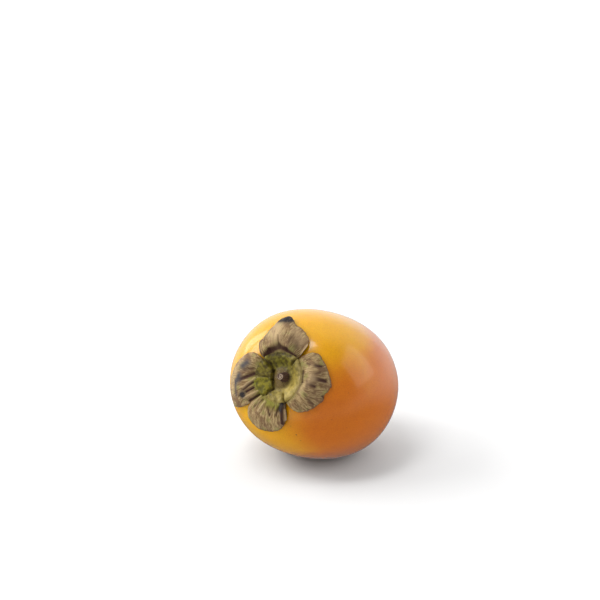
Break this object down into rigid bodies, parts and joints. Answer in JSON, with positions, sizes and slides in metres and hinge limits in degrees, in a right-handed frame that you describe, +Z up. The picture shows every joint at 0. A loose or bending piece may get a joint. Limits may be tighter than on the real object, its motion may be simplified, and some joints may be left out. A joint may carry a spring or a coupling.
{
  "type": "persimmon",
  "caption": "Ripe orange persimmon lying on its side, with a dried lobed calyx round a green disc and a short stalk stub.",
  "frame": {"origin": "centre of the small flat spot on the underside that the fruit rests on", "axes": "+Z up; the fruit's own axis lies in the YZ plane and leaves the calyx towards -Y, tipped up from the floor; +X to the right when facing the calyx"},
  "size_m": [0.0784, 0.0838, 0.0738],
  "materials": {
    "skin": "waxy satin fruit skin, yellow at the calyx and orange towards the blossom end",
    "dry_lobe": "dry, striated, khaki brown",
    "green_disc": "fleshy olive green, slightly glossy",
    "dark_stalk": "dry, nearly black"
  },
  "bodies": {
    "root": {"fruit_body": "skin", "calyx_disc": "green_disc", "calyx_lobe_top": "dry_lobe", "calyx_lobe_right": "dry_lobe", "calyx_lobe_bottom": "dry_lobe", "calyx_lobe_left": "dry_lobe", "pedicel_stub": "dark_stalk", "style_tip": "dark_stalk"}
  },
  "joints": []
}
